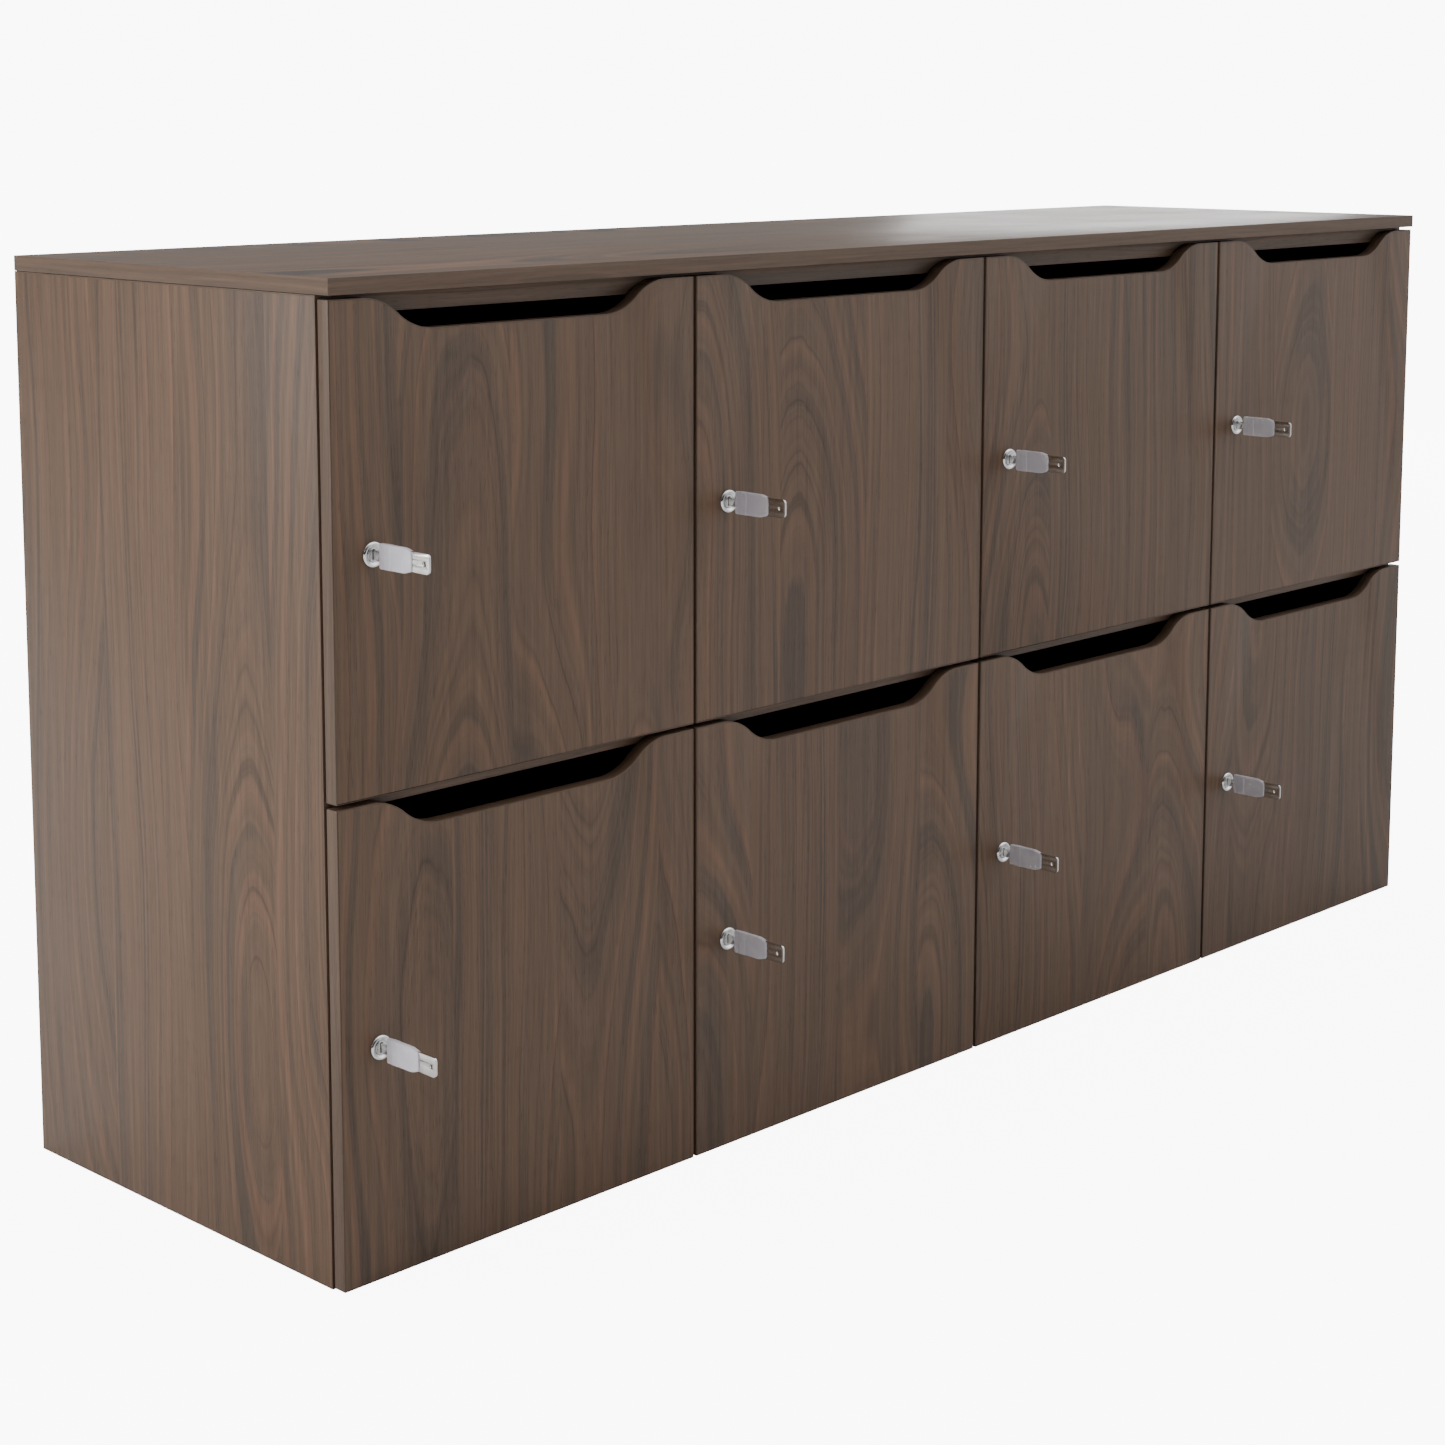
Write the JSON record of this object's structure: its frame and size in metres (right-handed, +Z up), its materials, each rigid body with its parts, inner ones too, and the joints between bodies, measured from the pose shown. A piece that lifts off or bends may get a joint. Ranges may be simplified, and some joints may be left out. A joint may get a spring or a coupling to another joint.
{
  "type": "keyed locker bank",
  "caption": "Walnut-laminate locker bank with hinged doors, curved letter and grip openings in their top edges, cam locks with keys, and a flat top slab.",
  "frame": {"origin": "centre of the base, on the floor", "axes": "+X to the right of someone facing the doors, +Y to the back, +Z up"},
  "size_m": [1.598, 0.5085, 0.8115],
  "materials": {
    "walnut_laminate": "satin walnut-grain laminate, grain upright",
    "top_laminate": "satin walnut-grain laminate, grain along the length",
    "back_board": "thin matt printed board",
    "edge_band": "matt wood-print edging strip",
    "chrome_lock": "bright chrome plate on zinc",
    "key_metal": "nickel-plated steel",
    "key_grip": "clear moulded plastic, slightly cloudy",
    "hinge_steel": "nickel-plated pressed steel",
    "cap_plastic": "dark brown moulded plastic"
  },
  "bodies": {
    "carcass": {"top_slab": "top_laminate", "upper_panel": "walnut_laminate", "bottom_panel": "walnut_laminate", "left_side": "walnut_laminate", "right_side": "walnut_laminate", "back_panel": "back_board", "middle_shelf": "walnut_laminate", "divider_1": "walnut_laminate", "divider_2": "walnut_laminate", "divider_3": "walnut_laminate", "hinge_arm_lower_1": "hinge_steel", "hinge_arm_lower_2": "hinge_steel", "hinge_arm_lower_3": "hinge_steel", "hinge_arm_lower_4": "hinge_steel", "hinge_arm_upper_1": "hinge_steel", "hinge_arm_upper_2": "hinge_steel", "hinge_arm_upper_3": "hinge_steel", "hinge_arm_upper_4": "hinge_steel"},
    "door_lower_1": {"door_lower_1": "walnut_laminate", "lock_body_lower_1": "chrome_lock"},
    "plug_lower_1": {"lock_plug_lower_1": "chrome_lock"},
    "key_lower_1": {"key_lower_1": "key_metal"},
    "link_lower_1": {"hinge_link_lower_1": "hinge_steel"},
    "door_lower_2": {"door_lower_2": "walnut_laminate", "lock_body_lower_2": "chrome_lock"},
    "plug_lower_2": {"lock_plug_lower_2": "chrome_lock"},
    "key_lower_2": {"key_lower_2": "key_metal"},
    "link_lower_2": {"hinge_link_lower_2": "hinge_steel"},
    "door_lower_3": {"door_lower_3": "walnut_laminate", "lock_body_lower_3": "chrome_lock"},
    "plug_lower_3": {"lock_plug_lower_3": "chrome_lock"},
    "key_lower_3": {"key_lower_3": "key_metal"},
    "link_lower_3": {"hinge_link_lower_3": "hinge_steel"},
    "door_lower_4": {"door_lower_4": "walnut_laminate", "lock_body_lower_4": "chrome_lock"},
    "plug_lower_4": {"lock_plug_lower_4": "chrome_lock"},
    "key_lower_4": {"key_lower_4": "key_metal"},
    "link_lower_4": {"hinge_link_lower_4": "hinge_steel"},
    "door_upper_1": {"door_upper_1": "walnut_laminate", "lock_body_upper_1": "chrome_lock"},
    "plug_upper_1": {"lock_plug_upper_1": "chrome_lock"},
    "key_upper_1": {"key_upper_1": "key_metal"},
    "link_upper_1": {"hinge_link_upper_1": "hinge_steel"},
    "door_upper_2": {"door_upper_2": "walnut_laminate", "lock_body_upper_2": "chrome_lock"},
    "plug_upper_2": {"lock_plug_upper_2": "chrome_lock"},
    "key_upper_2": {"key_upper_2": "key_metal"},
    "link_upper_2": {"hinge_link_upper_2": "hinge_steel"},
    "door_upper_3": {"door_upper_3": "walnut_laminate", "lock_body_upper_3": "chrome_lock"},
    "plug_upper_3": {"lock_plug_upper_3": "chrome_lock"},
    "key_upper_3": {"key_upper_3": "key_metal"},
    "link_upper_3": {"hinge_link_upper_3": "hinge_steel"},
    "door_upper_4": {"door_upper_4": "walnut_laminate", "lock_body_upper_4": "chrome_lock"},
    "plug_upper_4": {"lock_plug_upper_4": "chrome_lock"},
    "key_upper_4": {"key_upper_4": "key_metal"},
    "link_upper_4": {"hinge_link_upper_4": "hinge_steel"}
  },
  "joints": [
    {"name": "door_lower_1_swing", "type": "hinge", "parent": "carcass", "child": "door_lower_1", "pos_m": [-0.40475, -0.215, 0.316], "axis": [0, 0, 1], "range_deg": [0, 95]},
    {"name": "plug_lower_1_turn", "type": "hinge", "parent": "door_lower_1", "child": "plug_lower_1", "pos_m": [-0.75825, -0.219, 0.1955], "axis": [0, 1, 0], "range_deg": [0, 90]},
    {"name": "key_lower_1_draw", "type": "slide", "parent": "plug_lower_1", "child": "key_lower_1", "axis": [0, -1, 0], "range_m": [0, 0.021]},
    {"name": "link_lower_1_turn", "type": "hinge", "parent": "carcass", "child": "link_lower_1", "pos_m": [-0.42575, -0.2075, 0.316], "axis": [0, 0, 1], "range_deg": [-28.5, 0]},
    {"name": "door_lower_2_swing", "type": "hinge", "parent": "carcass", "child": "door_lower_2", "pos_m": [-0.00475, -0.215, 0.316], "axis": [0, 0, 1], "range_deg": [0, 95]},
    {"name": "plug_lower_2_turn", "type": "hinge", "parent": "door_lower_2", "child": "plug_lower_2", "pos_m": [-0.35825, -0.219, 0.1955], "axis": [0, 1, 0], "range_deg": [0, 90]},
    {"name": "key_lower_2_draw", "type": "slide", "parent": "plug_lower_2", "child": "key_lower_2", "axis": [0, -1, 0], "range_m": [0, 0.021]},
    {"name": "link_lower_2_turn", "type": "hinge", "parent": "carcass", "child": "link_lower_2", "pos_m": [-0.02575, -0.2075, 0.316], "axis": [0, 0, 1], "range_deg": [-28.5, 0]},
    {"name": "door_lower_3_swing", "type": "hinge", "parent": "carcass", "child": "door_lower_3", "pos_m": [0.39525, -0.215, 0.316], "axis": [0, 0, 1], "range_deg": [0, 95]},
    {"name": "plug_lower_3_turn", "type": "hinge", "parent": "door_lower_3", "child": "plug_lower_3", "pos_m": [0.04175, -0.219, 0.1955], "axis": [0, 1, 0], "range_deg": [0, 90]},
    {"name": "key_lower_3_draw", "type": "slide", "parent": "plug_lower_3", "child": "key_lower_3", "axis": [0, -1, 0], "range_m": [0, 0.021]},
    {"name": "link_lower_3_turn", "type": "hinge", "parent": "carcass", "child": "link_lower_3", "pos_m": [0.37425, -0.2075, 0.316], "axis": [0, 0, 1], "range_deg": [-28.5, 0]},
    {"name": "door_lower_4_swing", "type": "hinge", "parent": "carcass", "child": "door_lower_4", "pos_m": [0.79525, -0.215, 0.316], "axis": [0, 0, 1], "range_deg": [0, 95]},
    {"name": "plug_lower_4_turn", "type": "hinge", "parent": "door_lower_4", "child": "plug_lower_4", "pos_m": [0.44175, -0.219, 0.1955], "axis": [0, 1, 0], "range_deg": [0, 90]},
    {"name": "key_lower_4_draw", "type": "slide", "parent": "plug_lower_4", "child": "key_lower_4", "axis": [0, -1, 0], "range_m": [0, 0.021]},
    {"name": "link_lower_4_turn", "type": "hinge", "parent": "carcass", "child": "link_lower_4", "pos_m": [0.77425, -0.2075, 0.316], "axis": [0, 0, 1], "range_deg": [-28.5, 0]},
    {"name": "door_upper_1_swing", "type": "hinge", "parent": "carcass", "child": "door_upper_1", "pos_m": [-0.40475, -0.215, 0.7148], "axis": [0, 0, 1], "range_deg": [0, 95]},
    {"name": "plug_upper_1_turn", "type": "hinge", "parent": "door_upper_1", "child": "plug_upper_1", "pos_m": [-0.75825, -0.219, 0.5943], "axis": [0, 1, 0], "range_deg": [0, 90]},
    {"name": "key_upper_1_draw", "type": "slide", "parent": "plug_upper_1", "child": "key_upper_1", "axis": [0, -1, 0], "range_m": [0, 0.021]},
    {"name": "link_upper_1_turn", "type": "hinge", "parent": "carcass", "child": "link_upper_1", "pos_m": [-0.42575, -0.2075, 0.7148], "axis": [0, 0, 1], "range_deg": [-28.5, 0]},
    {"name": "door_upper_2_swing", "type": "hinge", "parent": "carcass", "child": "door_upper_2", "pos_m": [-0.00475, -0.215, 0.7148], "axis": [0, 0, 1], "range_deg": [0, 95]},
    {"name": "plug_upper_2_turn", "type": "hinge", "parent": "door_upper_2", "child": "plug_upper_2", "pos_m": [-0.35825, -0.219, 0.5943], "axis": [0, 1, 0], "range_deg": [0, 90]},
    {"name": "key_upper_2_draw", "type": "slide", "parent": "plug_upper_2", "child": "key_upper_2", "axis": [0, -1, 0], "range_m": [0, 0.021]},
    {"name": "link_upper_2_turn", "type": "hinge", "parent": "carcass", "child": "link_upper_2", "pos_m": [-0.02575, -0.2075, 0.7148], "axis": [0, 0, 1], "range_deg": [-28.5, 0]},
    {"name": "door_upper_3_swing", "type": "hinge", "parent": "carcass", "child": "door_upper_3", "pos_m": [0.39525, -0.215, 0.7148], "axis": [0, 0, 1], "range_deg": [0, 95]},
    {"name": "plug_upper_3_turn", "type": "hinge", "parent": "door_upper_3", "child": "plug_upper_3", "pos_m": [0.04175, -0.219, 0.5943], "axis": [0, 1, 0], "range_deg": [0, 90]},
    {"name": "key_upper_3_draw", "type": "slide", "parent": "plug_upper_3", "child": "key_upper_3", "axis": [0, -1, 0], "range_m": [0, 0.021]},
    {"name": "link_upper_3_turn", "type": "hinge", "parent": "carcass", "child": "link_upper_3", "pos_m": [0.37425, -0.2075, 0.7148], "axis": [0, 0, 1], "range_deg": [-28.5, 0]},
    {"name": "door_upper_4_swing", "type": "hinge", "parent": "carcass", "child": "door_upper_4", "pos_m": [0.79525, -0.215, 0.7148], "axis": [0, 0, 1], "range_deg": [0, 95]},
    {"name": "plug_upper_4_turn", "type": "hinge", "parent": "door_upper_4", "child": "plug_upper_4", "pos_m": [0.44175, -0.219, 0.5943], "axis": [0, 1, 0], "range_deg": [0, 90]},
    {"name": "key_upper_4_draw", "type": "slide", "parent": "plug_upper_4", "child": "key_upper_4", "axis": [0, -1, 0], "range_m": [0, 0.021]},
    {"name": "link_upper_4_turn", "type": "hinge", "parent": "carcass", "child": "link_upper_4", "pos_m": [0.77425, -0.2075, 0.7148], "axis": [0, 0, 1], "range_deg": [-28.5, 0]}
  ],
  "couplings": [
    {"joint": "link_lower_1_turn", "follows": "door_lower_1_swing", "ratio": -0.3},
    {"joint": "link_lower_2_turn", "follows": "door_lower_2_swing", "ratio": -0.3},
    {"joint": "link_lower_3_turn", "follows": "door_lower_3_swing", "ratio": -0.3},
    {"joint": "link_lower_4_turn", "follows": "door_lower_4_swing", "ratio": -0.3},
    {"joint": "link_upper_1_turn", "follows": "door_upper_1_swing", "ratio": -0.3},
    {"joint": "link_upper_2_turn", "follows": "door_upper_2_swing", "ratio": -0.3},
    {"joint": "link_upper_3_turn", "follows": "door_upper_3_swing", "ratio": -0.3},
    {"joint": "link_upper_4_turn", "follows": "door_upper_4_swing", "ratio": -0.3}
  ]
}
